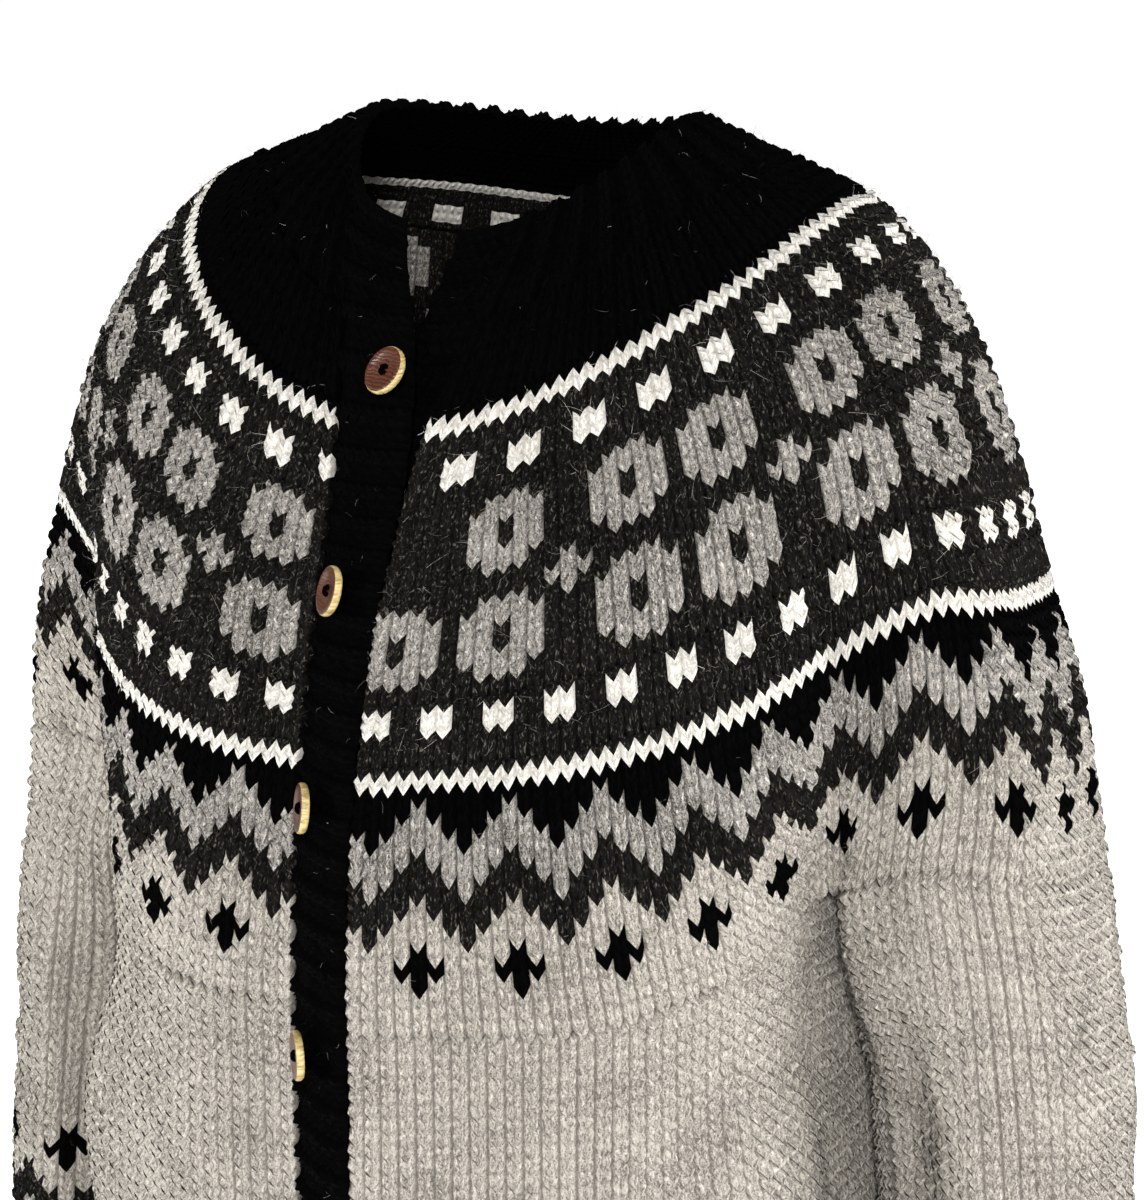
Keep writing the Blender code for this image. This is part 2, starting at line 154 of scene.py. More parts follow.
# Buttons: the row each sits on, the turn of its face toward the wearer's right in degrees,
# the clearance from the rib beneath, and the height in mm of the neck under the disc
BUTTONS = [(11, 3), (26, 2), (42, 2), (58.5, 2), (73.5, 2), (88.5, 2), (103, 2)]
BUTTON_CLEARANCE = 0.4
BUTTON_NECK = 2.2

# Curves through the tables


def along(x, knots, values):
    """Smooth curve through the table: a cubic between knots, its slope at a knot the mean of both sides."""
    knots = np.asarray(knots, float)
    values = np.asarray(values, float)
    x = np.clip(np.asarray(x, float), knots[0], knots[-1])
    slope = np.diff(values) / np.diff(knots)
    both = slope[1:] * slope[:-1] > 0
    middle = np.where(both, 0.5 * (slope[1:] + slope[:-1]), 0.0)
    tangent = np.concatenate([slope[:1], middle, slope[-1:]])
    i = np.clip(np.searchsorted(knots, x, side="right") - 1, 0, len(knots) - 2)
    span = knots[i + 1] - knots[i]
    s = (x - knots[i]) / span
    start = values[i] * (1 + 2 * s) * (1 - s) ** 2 + tangent[i] * span * s * (1 - s) ** 2
    end = values[i + 1] * s**2 * (3 - 2 * s) - tangent[i + 1] * span * s**2 * (1 - s)
    return start + end


def bump(x, centre, width):
    return np.exp(-(((x - centre) / width) ** 2))


def unit(vectors):
    return vectors / np.linalg.norm(vectors, axis=-1, keepdims=True)


def distance(points):
    """Length of a line through points."""
    return np.linalg.norm(np.diff(points, axis=0), axis=1).sum()


def rise(x, first, last):
    """0 before first, 1 after last, and smooth between."""
    s = np.clip((x - first) / (last - first), 0, 1)
    return s * s * (3 - 2 * s)


def oval(turn, half_width, front, back, square):
    """Point of a superellipse at an angle from the front: each half has its own depth."""
    sine = np.sin(np.radians(turn))
    cosine = np.cos(np.radians(turn))
    depth = np.where(cosine > 0, front, back)
    reach = (np.abs(sine / half_width) ** square + np.abs(cosine / depth) ** square) ** (-1 / square)
    return reach * sine, -reach * cosine


# Surfaces of the cloth, in mm, by row and angle from the front


def folded(turn, place, folds, fade, closed):
    """Depth of the folds at an angle round a ring and a place along it, running on round a closed ring."""
    depth = 0.0
    for centre, width, deep, first, last in folds:
        span = rise(place, first, first + fade) * (1 - rise(place, last - fade, last))
        away = signed(turn - centre) if closed else turn - centre
        depth = depth + deep * bump(away, 0, width) * span
    return depth


def torso_ring(turn, row):
    values = {k: along(row, BODY_ROWS, v) for k, v in BODY.items()}
    inward = folded(turn, row, BODY_FOLDS, FOLD_FADE, closed=False)
    reach = [values[k] - inward for k in ("half_width", "front", "back")]
    return oval(turn, *reach, values["square"])


def arm_ring(turn, share):
    """Point on the wearer's left arm, the angle counted from its outer side toward its back."""
    values = {k: along(share, SLEEVE_SHARE, v) for k, v in SLEEVE.items()}
    inward = folded(turn, share, SLEEVE_FOLDS, SLEEVE_FADE, closed=True)
    reach = [values[k] - inward for k in ("half_width", "half_depth", "half_depth")]
    x, y = oval(turn + 90, *reach, values["square"])
    return values["out"] + x, y - values["forward"]


def join_ring(half):
    """Outline of torso and arm side by side, by the yoke's own angle from 0 to 180."""
    from_back = (180 - half) / (180 - BACK_CREASE)
    torso_turn = np.where(half < 90, half / FRONT_CREASE * TORSO_TURN, 180 - from_back * TORSO_TURN)
    torso_x, torso_y = torso_ring(np.clip(torso_turn, 0, 180), YOKE_END)
    around = np.clip((half - FRONT_CREASE) / (BACK_CREASE - FRONT_CREASE), 0, 1)
    arm_x, arm_y = arm_ring(ARM_FRONT + around * (ARM_BACK - ARM_FRONT), 0)
    on_arm = (half > FRONT_CREASE) & (half < BACK_CREASE)
    return np.where(on_arm, arm_x, torso_x), np.where(on_arm, arm_y, torso_y)


def pressed(x, turn, row):
    """Shift in depth beside the front edges: forward at the wearer's left, back at the right, fading out."""
    away = x / PRESS_REACH
    shift = along(row, PRESS_ROWS, PRESS_BY) * away * np.exp(0.5 - 0.5 * away**2)
    return np.where(np.abs(turn) < 90, -shift, 0)


def yoke_height(oval_turn, row):
    side = along(row, YOKE_ROWS, YOKE["z_side"])
    fore = along(row, YOKE_ROWS, YOKE["z_front"]) - side
    aft = along(row, YOKE_ROWS, YOKE["z_back"]) - side
    cosine = np.cos(np.radians(oval_turn))
    lift = along(row, YOKE_ROWS, ARM_LIFT) * bump(oval_turn, ARM_LIFT_TURN, ARM_LIFT_WIDTH)
    front_share = np.clip(cosine, 0, 1) ** HEIGHT_CURVE
    back_share = np.clip(-cosine, 0, 1) ** HEIGHT_CURVE
    return side + lift + fore * front_share + aft * back_share


def yoke_oval_turn(half):
    """The yoke's own angle turned into the angle of its oval: the arms take less of the oval."""
    places = [0, FRONT_CREASE, 90, BACK_CREASE, 180]
    return np.interp(half, places, [0, FRONT_CREASE_OVAL, 90, BACK_CREASE_OVAL, 180])


def yoke_point(turn, row):
    """Outer face of collar and yoke."""
    turn = signed(turn)
    half = np.abs(turn)
    values = {k: along(row, YOKE_ROWS, v) for k, v in YOKE.items()}
    oval_turn = yoke_oval_turn(half)
    reach = [values[k] for k in ("half_width", "front", "back", "square")]
    oval_x, oval_y = oval(oval_turn, *reach)
    join_x, join_y = join_ring(half)
    share = values["torso_share"]
    x = (oval_x + (join_x - oval_x) * share) * np.where(turn < 0, -1, 1)
    y = oval_y + (join_y - oval_y) * share + pressed(x, turn, row)
    return np.stack(np.broadcast_arrays(x, y, yoke_height(oval_turn, row)), axis=-1)


def underarm_height(share):
    """Height of the edge under the arm, from the front crease to the back one, with a dip between."""
    front = yoke_height(FRONT_CREASE_OVAL, YOKE_END)
    back = yoke_height(BACK_CREASE_OVAL, YOKE_END)
    return front + (back - front) * share - UNDERARM_DIP * np.sin(np.pi * np.clip(share, 0, 1))


def body_top(turn):
    """Height of the body's upper edge: the yoke's edge, and under the arm the edge between its creases."""
    half = np.abs(turn)
    places = [0, TORSO_TURN, 180 - TORSO_TURN, 180]
    edge = np.interp(half, places, [0, FRONT_CREASE_OVAL, BACK_CREASE_OVAL, 180])
    share = (half - TORSO_TURN) / (180 - 2 * TORSO_TURN)
    return np.where((share > 0) & (share < 1), underarm_height(share), yoke_height(edge, YOKE_END))


def body_point(turn, row):
    """Outer face of the body: its top follows the yoke's edge and its hem is level."""
    turn = signed(turn)
    x, y = torso_ring(turn, row)
    y = y + pressed(x, turn, row)
    raised = body_top(turn) - BODY["z"][0]
    z = along(row, BODY_ROWS, BODY["z"]) + raised * (1 - rise(row, YOKE_END, YOKE_END + LEVEL_ROWS))
    return np.stack(np.broadcast_arrays(x, y, z), axis=-1)


def sleeve_point(turn, share):
    """Outer face of the left sleeve and, past share 1, of its cuff."""
    x, y = arm_ring(turn, share)
    ring = (turn - ARM_BACK) % 360 + ARM_BACK - 360
    half = np.interp(ring, [ARM_FRONT, ARM_BACK], [FRONT_CREASE, BACK_CREASE])
    under = (ARM_FRONT - ring) / (ARM_FRONT - ARM_BACK + 360)
    top = np.where(ring < ARM_FRONT, underarm_height(under), yoke_height(yoke_oval_turn(half), YOKE_END))
    past = np.clip((share - 1) / (SLEEVE_SHARE[-1] - 1), 0, 1)
    z = top + (SLEEVE_END_Z - top) * np.clip(share, 0, 1) - CUFF_LENGTH * past
    return np.stack(np.broadcast_arrays(x, y, z), axis=-1)


def signed(turn):
    return (np.asarray(turn, float) + 180) % 360 - 180


def front_turn(point, across, row):
    """Angle at which this surface lies a distance across from the middle of the front."""
    turn = across / point(1.0, row)[..., 0]
    for _ in range(3):
        there = point(turn, row)[..., 0]
        turn = turn * across / np.where(np.abs(there) < 1e-6, 1, there)
    return turn


def front_point(across, row):
    """Outer face at the front opening, by the distance across it."""
    across, row = np.broadcast_arrays(np.where(across == 0, 1e-3, across), row)
    above = np.minimum(row, YOKE_END)
    below = np.maximum(row, YOKE_END)
    on_yoke = yoke_point(front_turn(yoke_point, across, above), above)
    on_body = body_point(front_turn(body_point, across, below), below)
    return np.where((row < YOKE_END)[..., None], on_yoke, on_body)


def opened(row, by):
    """How far a front band is drawn aside."""
    return along(row, OPEN_ROWS, by)


def front_edge(point, row, by):
    """Angle from the middle of the front to the edge beside a band."""
    return front_turn(point, BAND_EDGE + EDGE_GAP + opened(row, by), row)


def evenly(point, row, share):
    """Angles of a ribbed ring at even shares from the left front edge to the right one."""
    left = front_edge(point, row, LEFT_OPEN_BY)
    right = front_edge(point, row, RIGHT_OPEN_BY)
    return left + (360 - left - right) * share


def lower_band(across, row):
    return front_point(across - BAND_TUCK + opened(row, LEFT_OPEN_BY), row)


def upper_band(across, row):
    return front_point(across - BAND_EDGE - opened(row, RIGHT_OPEN_BY), row)


# Stitches: how each is cut into faces, how far its legs lean and stand out, in rows and mm
STEPS_ACROSS = 4
STEPS_DOWN = 3
LEAN = 0.74
LEVEL_EDGE = 0.9
LEG_HEIGHT = 2.3
LEG_DIP = 0.25
MIDDLE_HEIGHT = 0.6
EDGE_DEPTH = 0.5
LEG_SLANT = 0.09
PURL_SINK = 2.8
PURL_HEIGHT = 1.3
INSIDE_HEIGHT = 0.7
CAST_OFF = 1.5
CAST_OFF_ROWS = 0.7
UNEVEN = 0.2
SHIFTED = 0.07
MOST_SHIFTED = 0.15

# How near cloth has to be for the next piece to follow it, in mm
TOUCHING = 4.0

# Cloth that bags forward under each arm, in mm: how far, its place and breadth across, its
# place and height, and the depths between which it grows
BAG_BY = 7.0
BAG_WIDE, BAG_BREADTH = 130, 16
BAG_Z, BAG_TALL = -365, 45
BAG_FRONT = (30, 60)

# Fullness of the body's sides: how far, its middle and depth, and where it grows
SIDE_BY = 5.0
SIDE_Y, SIDE_DEEP = -70, 35
SIDE_WIDE = (105, 130)
SIDE_BELOW = (330, 380)

# A sleeve's inner front corner drawn back: how far, and where it grows
TUCK_BY = 32.0
TUCK_INWARD = (-209, -166)
TUCK_FRONT = (-25, 45)
TUCK_BELOW = (275, 360)

# Bends across a sleeve: how far out, height, width, and the depths between which each grows
SLEEVE_BENDS = [(-2.2, -372, 9, (0, 40)), (-1.8, -398, 8, (10, 45))]

# Trough and ridge down a sleeve: how far out, place across, width, and where they grow
SLEEVE_PLEATS = [(-2.0, 196, 6), (2.5, 210, 7)]
PLEAT_FRONT = (15, 45)
PLEAT_BELOW = (280, 350)
CREASES_END = (0.85, 1.0)

# Rings: how finely each is measured, and how often it is smoothed along its length
RING_STEPS = 900
SMOOTHED = 4

# Yarns, as their places among a piece's materials
BLACK, CHARCOAL, GREY, LIGHT, WHITE = range(5)

# Zones of the yoke: first and last table row, rows of stitches, stitches round
COLLAR_ZONE = (0, 8, 8, 68)
NECK_ZONE = (8, 12.5, 5, 98)
FIRST_ZONE = (12.5, 19, 7, 131)
FLOWER_ZONE = (19, 34, 16, 159)
BLOCK_ZONE = (34, 38.5, 5, 191)
PEAK_ZONE = (38.5, 57, 18, 207)
BODY_ZONE = (57, 104, 47, 143)
HEM_ZONE = (104, 114, 11, 140)
SLEEVE_ROWS = 50
SLEEVE_STITCHES = 53
CUFF_ROWS = 11
CUFF_STITCHES = 36
BAND_STITCHES = 92
LOWER_BAND_ROWS = 6
UPPER_BAND_ROWS = 8

# The patterns' own small repeats, charted, a dot where the cloth shows. Then how
# often each repeats, its first stitch, and the width of a stitch in mm
RING_MOTIF = [".ooo.", "ooooo", "oo.oo", "oo.oo", "ooooo", ".ooo."]
CROSS_MOTIF = [".x.", "xxx", ".x."]
FLOWER_EVERY = 14
FLOWER_FIRST = 11
PEAK_EVERY = 6
PEAK_FIRST = 4
STITCH_WIDTH = 6.28
BLOCK_EVERY = 4

randoms = np.random.default_rng(7)


# Patterns, as the yarn of each stitch by row and column


def plain(zone, yarn=BLACK):
    return np.full(zone[2:4], yarn)


def drawn(chart, motif, top, left, yarn):
    """Draws a small motif into the chart, leaving the stitches under its dots."""
    for down, line in enumerate(motif):
        for across, sign in enumerate(line):
            if sign != "." and 0 <= left + across < chart.shape[1]:
                chart[top + down, left + across] = yarn


def first_chart():
    """A black row, a white line, two charcoal rows and a row of white blocks two stitches square."""
    chart = plain(FIRST_ZONE, CHARCOAL)
    chart[0] = BLACK
    chart[1] = WHITE
    column = np.arange(chart.shape[1])
    chart[4:6, column % BLOCK_EVERY > 1] = WHITE
    return chart


def flower_chart():
    """Flowers of four grey rings round a small cross, one stitch apart."""
    chart = plain(FLOWER_ZONE, CHARCOAL)
    middles = [FLOWER_FIRST + FLOWER_EVERY * n for n in range(11)]
    for middle in middles:
        for left in (middle - 6, middle + 2):
            drawn(chart, RING_MOTIF, 1, left, GREY)
            drawn(chart, RING_MOTIF, 9, left, GREY)
        drawn(chart, CROSS_MOTIF, 7, middle - 1, GREY)
    drawn(chart, RING_MOTIF, 9, -1, GREY)
    return chart


def block_chart():
    chart = plain(BLOCK_ZONE, CHARCOAL)
    column = np.arange(chart.shape[1])
    chart[1:3, column % BLOCK_EVERY < 2] = WHITE
    return chart


def peaks(count, first):
    """The border under the yoke: a white line, then black, grey and charcoal steps toward the peaks."""
    column = np.arange(count)
    step = (column - first) % PEAK_EVERY
    away = np.minimum(step, PEAK_EVERY - step)
    row = np.arange(-1, 17)[:, None]
    chart = np.full((18, count), LIGHT)
    chart[row <= 7 + away] = CHARCOAL
    chart[row <= 4 + away] = GREY
    chart[row <= 1 + away] = BLACK
    chart[0] = CHARCOAL
    chart[1] = WHITE
    for middle in column[away == 0]:
        drawn(chart, CROSS_MOTIF, 12, middle - 1, BLACK)
    return chart


def bordered(rows, count, first):
    """Plain light cloth that ends in the same border turned upside down, then black."""
    chart = np.full((rows, count), LIGHT)
    border = peaks(count, first)[1:16][::-1]
    chart[rows - 20 : rows - 5] = border
    chart[rows - 5 :] = BLACK
    return chart


# Cloth sampled at every quarter stitch across and every half row down


def crumpled(points):
    """Soft unevenness of worn knitting: three slow waves through space, in mm."""
    x, y, z = np.moveaxis(points, -1, 0)
    wave = np.sin(x / 17 + z / 31) * np.sin(z / 23 - y / 19) + 0.6 * np.sin(z / 11 + x / 41 + y / 37)
    return 0.55 * wave


def pouched(points):
    """The body's cloth bagging forward under each arm, and fuller along the side below it."""
    x, y, z = np.moveaxis(points, -1, 0)
    wide = np.abs(x)
    bag = BAG_BY * bump(wide, BAG_WIDE, BAG_BREADTH) * bump(z, BAG_Z, BAG_TALL) * rise(-y, *BAG_FRONT)
    side = SIDE_BY * bump(y, SIDE_Y, SIDE_DEEP) * rise(wide, *SIDE_WIDE) * rise(-z, *SIDE_BELOW)
    return bag + side


def spread(ring, shares):
    """Points at even shares of each ring's length, straight between its measured points."""
    step = np.linalg.norm(np.diff(ring, axis=1), axis=2)
    length = np.concatenate([np.zeros((len(ring), 1)), np.cumsum(step, axis=1)], axis=1)
    length /= length[:, -1:]
    even = [[np.interp(shares, length[i], ring[i, :, k]) for k in range(3)] for i in range(len(ring))]
    return np.array(even).transpose(0, 2, 1)


def smoothed(points, closed):
    """Each point drawn a little toward its neighbours along the ring, a few times over."""
    for _ in range(SMOOTHED):
        drawn_in = (np.roll(points, 1, axis=1) + 2 * points + np.roll(points, -1, axis=1)) / 4
        if not closed:
            drawn_in[:, [0, -1]] = points[:, [0, -1]]
        points = drawn_in
    return points


def along_ring(points, closed):
    """The way from one stitch to the next at each place of a grid."""
    if closed:
        return (np.roll(points, -1, axis=1) - np.roll(points, 1, axis=1)) / 2 * STEPS_ACROSS
    return np.gradient(points, axis=1) * STEPS_ACROSS


def outward(points, closed):
    """Unit normals of a grid: the way down it crossed with the way along it."""
    return unit(np.cross(np.gradient(points, axis=0), along_ring(points, closed)))


def half_rows(first, last, rows):
    return np.linspace(first, last, 2 * rows + 1)


def grown(points, above):
    """Two more half rows on top of a piece, which follow the cloth above it.

    Each column takes the steps of the nearest column of that cloth, and where none is near,
    as under the arm, it goes straight on.
    """
    away = np.linalg.norm(points[0][:, None] - above[-1][None], axis=2)
    nearest = away.argmin(axis=1)
    near = bump(away.min(axis=1), 0, TOUCHING)[:, None]
    added = []
    for half in (2, 1):
        straight = half * (points[0] - points[1])
        followed = above[-1 - half, nearest] - above[-1, nearest]
        added.append(points[0] + straight * (1 - near) + followed * near)
    return np.concatenate([np.array(added), points])


def torso_cloth(point, zone, above=None):
    """Cloth of collar, yoke or body, from the wearer's left front edge round to the right one."""
    first, last, rows, stitches = zone
    row = half_rows(first, last, rows)[:, None]
    turn = evenly(point, row, np.linspace(0, 1, RING_STEPS))
    even = spread(point(turn, row), np.linspace(0, 1, stitches * STEPS_ACROSS + 1))
    even = smoothed(even, False)
    if above is not None:
        even = grown(even, above)
    normal = outward(even, False)
    return even + normal * (crumpled(even) + pouched(even))[..., None], normal


def arm_cloth(first, last, rows, stitches, phase, above=None):
    """Cloth of the left sleeve or cuff as closed rings, the first stitch a part of a stitch along."""
    share = half_rows(first, last, rows)[:, None]
    turn = ARM_FRONT + np.linspace(0, 360, RING_STEPS)
    ring = sleeve_point(np.broadcast_to(turn, (len(share), RING_STEPS)), share)
    twice = np.concatenate([ring, ring[:, 1:]], axis=1)
    shares = (np.arange(stitches * STEPS_ACROSS) / STEPS_ACROSS - phase) % stitches / stitches / 2
    even = tucked(smoothed(spread(twice, shares), True))
    if above is not None:
        even = grown(even, above)
        share = np.concatenate([share[:1], share[:1], share])
    normal = outward(even, True)
    deep = creased(even, share)
    return even + normal * (crumpled(even) + deep)[..., None], normal


def creased(points, share):
    """Creases of a sleeve that are only cloth deep: bends across the arm, and a trough and ridge down it."""
    x, y, z = np.moveaxis(points, -1, 0)
    deep = 0.0
    for by, middle, width, front in SLEEVE_BENDS:
        deep = deep + by * bump(z, middle, width) * rise(-y, *front)
    for by, middle, width in SLEEVE_PLEATS:
        deep = deep + by * bump(x, middle, width) * rise(-y, *PLEAT_FRONT) * rise(-z, *PLEAT_BELOW)
    return deep * (1 - rise(share, *CREASES_END))


def tucked(points):
    """The inner front corner of a sleeve, drawn back behind the body below the arm."""
    x, y, z = np.moveaxis(points, -1, 0)
    back = TUCK_BY * rise(-x, *TUCK_INWARD) * rise(-y, *TUCK_FRONT) * rise(-z, *TUCK_BELOW)
    return points + back[..., None] * (0, 1, 0)


def band_cloth(band, across, lifts, rows):
    """Cloth of a front band, its columns across the opening and its rows down the front."""
    table = np.linspace(0, HEM_END, BAND_STITCHES * STEPS_ACROSS + 1)[None, :]
    place = np.linspace(0, 1, 2 * rows + 1)[:, None] * across[-1]
    lift = np.interp(place, across, lifts)
    points = band(place, table)
    normal = -outward(points, False)
    return points + normal * lift[..., None], normal


def at(field, place, column):
    """Value of a sampled field between its half rows, straight from one to the next."""
    deep = 2 * place
    above = np.clip(np.floor(deep).astype(int), 0, len(field) - 2)
    share = (deep - above)[..., None]
    return field[above, column] * (1 - share) + field[above + 1, column] * share


# Knitted shells


def stitch_height(u, t, level, ribbed):
    """How far the yarn stands out at a place counted in stitches and rows.

    A knit stitch is two crests, the sine of the place across it, that dip where one row
    passes into the next. In a rib every second stitch lies deeper and is a purl, one bump
    across its whole width.
    """
    crest = np.abs(np.sin(2 * np.pi * u))
    dip = LEG_DIP + (1 - LEG_DIP) * np.sin(np.pi * (t % 1))
    dip = np.maximum(dip, 1 - level)
    middle = MIDDLE_HEIGHT * bump(u % 1, 0.5, 0.1)
    edge = EDGE_DEPTH * (bump(u % 1, 0, 0.1) + bump(u % 1, 1, 0.1))
    knit = LEG_HEIGHT * crest * dip + middle - edge
    if not ribbed:
        return knit
    rib = 0.5 + 0.5 * np.cos(np.pi * (u - 0.5))
    purl = PURL_HEIGHT * np.sin(np.pi * (t % 1))
    return knit * rib + (purl - PURL_SINK) * (1 - rib)


def loops_of(*rings):
    """Faces as rows of corners, flattened, with the number of corners of each."""
    corners = np.concatenate([ring.reshape(-1) for ring in rings])
    counts = np.concatenate([np.full(len(ring), ring.shape[1]) for ring in rings])
    return corners, counts


def linked(name, data):
    made = bpy.data.objects.new(name, data)
    bpy.context.scene.collection.objects.link(made)
    return made


def mesh_of(name, points, rings, looks, uv, materials):
    """A mesh from points in mm and groups of faces: a material for each face, a place in the knitting."""
    corners, counts = loops_of(*rings)
    mesh = bpy.data.meshes.new(name)
    mesh.vertices.add(len(points))
    mesh.vertices.foreach_set("co", (points * MM).astype(np.float32).ravel())
    mesh.loops.add(len(corners))
    mesh.loops.foreach_set("vertex_index", corners.astype(np.int32))
    mesh.polygons.add(len(counts))
    starts = np.concatenate([[0], np.cumsum(counts)[:-1]])
    for field, values in {"loop_start": starts, "loop_total": counts, "material_index": looks}.items():
        mesh.polygons.foreach_set(field, values.astype(np.int32))
    mesh.polygons.foreach_set("use_smooth", np.ones(len(counts), bool))
    mesh.update(calc_edges=True)
    layer = mesh.uv_layers.new(name="knitting")
    layer.data.foreach_set("uv", uv[corners].astype(np.float32).ravel())
    for material in materials:
        mesh.materials.append(material)
    made = linked(name, mesh)
    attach(made, "root")
    return made


def outer_face(cloth, size, ahead, ribbed, closed, cast_off, straight):
    """The stitches of a piece, with their normals and places in the knitting.

    The grid has a few columns to each stitch and a few lines to each row. A line bends up
    toward the edges of each stitch, by the lean times the distance from its middle, so each
    stitch is an upright V. It levels out at an end that is straight, and at one that isn't
    the stitches of the next piece fit into its points.
    """
    points, normals = cloth
    rows, stitches = size
    line = np.arange(rows * STEPS_DOWN + 1)[:, None]
    column = np.arange(stitches * STEPS_ACROSS + (0 if closed else 1))[None, :]
    t = line / STEPS_DOWN
    u = column / STEPS_ACROSS
    level = np.ones_like(t)
    for end, is_straight in zip((t, rows - t), straight):
        if is_straight:
            level = np.minimum(level, np.clip(end / LEVEL_EDGE, 0, 1))
    own = np.minimum(line // STEPS_DOWN, rows - 1), column // STEPS_ACROSS % stitches
    uneven = randoms.normal(0, 1, (rows, stitches))[own]
    shifted = randoms.normal(0, SHIFTED, (rows, stitches))[own].clip(-MOST_SHIFTED, MOST_SHIFTED)
    place = ahead + t - (LEAN * np.abs(2 * (u % 1) - 1) + shifted) * level
    normal = unit(at(normals, place, column))
    height = stitch_height(u, t, level, ribbed) * (1 + UNEVEN * uneven * level)
    for end, cast in zip((t, rows - t), cast_off):
        if cast:
            height = height - CAST_OFF * np.clip(1 - end / CAST_OFF_ROWS, 0, 1) ** 2
    slant = LEG_SLANT * np.sin(2 * np.pi * t) * -np.sin(2 * np.pi * u) * level
    outer = at(points, place, column) + at(along_ring(points, closed), place, column) * slant[..., None]
    outer = outer + normal * (height - LEG_HEIGHT / 3)[..., None]
    return outer, normal, grid_of(u, t)


def inner_face(points, normals, inside):
    """The inner face, a wall behind the cloth. With two steps or more to a stitch it has purl bumps."""
    every = slice(None, None, 2 // inside), slice(None, None, STEPS_ACROSS // inside)
    inner = (points - normals * WALL)[every]
    u = np.arange(inner.shape[1])[None, :] / inside
    t = np.arange(inner.shape[0])[:, None] / inside
    if inside > 1:
        purl = 0.5 - 0.5 * np.cos(2 * np.pi * u) * np.cos(2 * np.pi * t)
        inner = inner - normals[every] * (INSIDE_HEIGHT * (purl - 0.5))[..., None]
    return inner, grid_of(u, t)


def grid_of(u, t):
    return np.stack(np.broadcast_arrays(u, t), axis=-1).reshape(-1, 2)


def shell_faces(outer, inner, chart, closed, inside):
    """Faces of both sides and of the rims between them, with their yarns, from the grids' sizes."""
    outer_index = np.arange(outer[0] * outer[1]).reshape(outer)
    inner_index = outer_index.size + np.arange(inner[0] * inner[1]).reshape(inner)
    if closed:
        outer_index, inner_index = wrapped(outer_index), wrapped(inner_index)
    top = rim(outer_index[0], inner_index[0])
    bottom = rim(outer_index[-1], inner_index[-1])[:, ::-1]
    rings = [corners_of(outer_index), corners_of(inner_index)[:, ::-1], top, bottom]
    fine = np.repeat(np.repeat(chart, STEPS_DOWN, axis=0), STEPS_ACROSS, axis=1)
    coarse = np.repeat(np.repeat(chart, inside, axis=0), inside, axis=1)
    yarns = [fine.ravel(), coarse.ravel(), coarse[0], coarse[-1]]
    if not closed:
        for side, way in ((0, -1), (-1, 1)):
            rings.append(side_rim(outer_index[:, side], inner_index[:, side], inside)[:, ::way])
            yarns.append(chart[:, side])
    return rings, np.concatenate(yarns)


def knit(
    name, cloth, chart, ribbed=False, closed=False, cast_off=(False, False), straight=(True, True),
    mirror=False, flipped=False, inside=1,
):
    """A knitted shell: stitches on its outer face, and an inner face a wall behind them."""
    points, normals = cloth
    ahead = (len(points) - 1) // 2 - len(chart)
    outer, normal, outer_uv = outer_face(cloth, chart.shape, ahead, ribbed, closed, cast_off, straight)
    inner, inner_uv = inner_face(points[2 * ahead :], normals[2 * ahead :], inside)
    rings, yarns = shell_faces(outer.shape[:2], inner.shape[:2], chart, closed, inside)
    if mirror != flipped:
        rings = [ring[:, ::-1] for ring in rings]
    everything = np.concatenate([outer.reshape(-1, 3), inner.reshape(-1, 3)])
    if mirror:
        everything = everything * (-1, 1, 1)
    made = mesh_of(name, everything, rings, yarns, np.concatenate([outer_uv, inner_uv]), yarn_materials)
    area = stretch_area(points[2 * ahead :])
    return made, {"points": outer, "normals": normal, "chart": chart, "mirror": mirror, "area": area}


def wrapped(index):
    """A closed ring's grid with its first column again at the end."""
    return np.concatenate([index, index[:, :1]], axis=1)


def corners_of(index):
    """Quads of a grid of points, their outside toward down crossed with along."""
    quads = [index[:-1, :-1], index[1:, :-1], index[1:, 1:], index[:-1, 1:]]
    return np.stack(quads, axis=-1).reshape(-1, 4)


def rim(outer, inner):
    """Faces that join a fine outer edge to the coarser inner one, one for each step of the inner edge."""
    steps = (len(outer) - 1) // (len(inner) - 1)
    starts = np.arange(len(inner) - 1) * steps
    fine = outer[starts[:, None] + np.arange(steps + 1)]
    return np.concatenate([fine, inner[1:, None], inner[:-1, None]], axis=1)


def side_rim(outer, inner, inside):
    """Faces that close the wall along a side edge, one for each row of stitches."""
    row = np.arange((len(outer) - 1) // STEPS_DOWN)[:, None]
    fine = outer[row * STEPS_DOWN + np.arange(STEPS_DOWN + 1)]
    coarse = inner[row * inside + np.arange(inside, -1, -1)]
    return np.concatenate([fine, coarse], axis=1)


def stretch_area(points):
    """Area of a grid in square metres, as the sum of its cells' sides crossed."""
    down = points[1:, :-1] - points[:-1, :-1]
    along_it = points[:-1, 1:] - points[:-1, :-1]
    return float(np.linalg.norm(np.cross(down, along_it), axis=2).sum() * MM**2)


# Loose hairs of the wool

HAIR_WIDTH = 0.1


